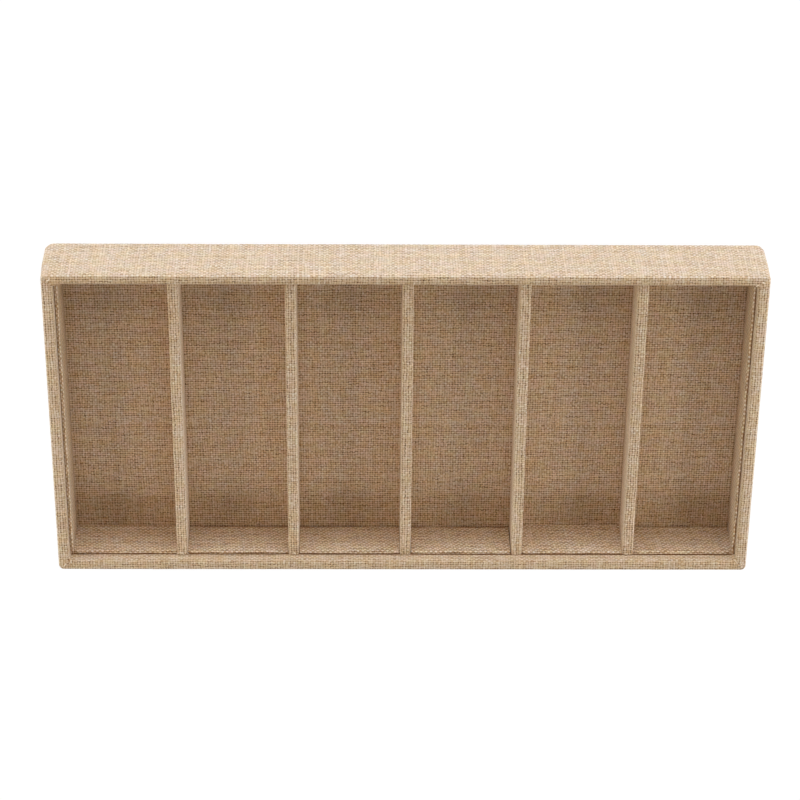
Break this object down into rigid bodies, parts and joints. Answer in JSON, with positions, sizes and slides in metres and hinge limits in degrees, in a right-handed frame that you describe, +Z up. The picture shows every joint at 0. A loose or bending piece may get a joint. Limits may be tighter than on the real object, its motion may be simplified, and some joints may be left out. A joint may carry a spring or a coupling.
{
  "type": "sunglasses organizer tray",
  "caption": "Shallow open tray covered in coarse woven linen, with fixed dividers making a row of long cells, each for a folded pair of sunglasses.",
  "frame": {"origin": "centre of the underside, on the surface that the tray lies on", "axes": "+X along the row of cells, +Y along each cell from the front wall to the rear wall, +Z up, out of the cells"},
  "size_m": [0.36, 0.176, 0.0347],
  "materials": {
    "linen": "coarse slubby plain weave",
    "fibreboard": "sawn, unfinished",
    "greyboard": "matt, uncoated",
    "backing_felt": "thin pressed felt"
  },
  "bodies": {
    "root": {"base_board": "fibreboard", "underside_felt": "backing_felt", "front_wall_board": "fibreboard", "rear_wall_board": "fibreboard", "left_wall_board": "fibreboard", "right_wall_board": "fibreboard", "outer_cover": "linen", "floor_card": "greyboard", "floor_cover": "linen", "divider_board_1": "fibreboard", "divider_cover_1": "linen", "divider_board_2": "fibreboard", "divider_cover_2": "linen", "divider_board_3": "fibreboard", "divider_cover_3": "linen", "divider_board_4": "fibreboard", "divider_cover_4": "linen", "divider_board_5": "fibreboard", "divider_cover_5": "linen", "front_liner_1_card": "greyboard", "front_liner_1_cover": "linen", "front_liner_2_card": "greyboard", "front_liner_2_cover": "linen", "front_liner_3_card": "greyboard", "front_liner_3_cover": "linen", "front_liner_4_card": "greyboard", "front_liner_4_cover": "linen", "front_liner_5_card": "greyboard", "front_liner_5_cover": "linen", "front_liner_6_card": "greyboard", "front_liner_6_cover": "linen", "rear_liner_1_card": "greyboard", "rear_liner_1_cover": "linen", "rear_liner_2_card": "greyboard", "rear_liner_2_cover": "linen", "rear_liner_3_card": "greyboard", "rear_liner_3_cover": "linen", "rear_liner_4_card": "greyboard", "rear_liner_4_cover": "linen", "rear_liner_5_card": "greyboard", "rear_liner_5_cover": "linen", "rear_liner_6_card": "greyboard", "rear_liner_6_cover": "linen", "left_liner_card": "greyboard", "left_liner_cover": "linen", "right_liner_card": "greyboard", "right_liner_cover": "linen"}
  },
  "joints": []
}
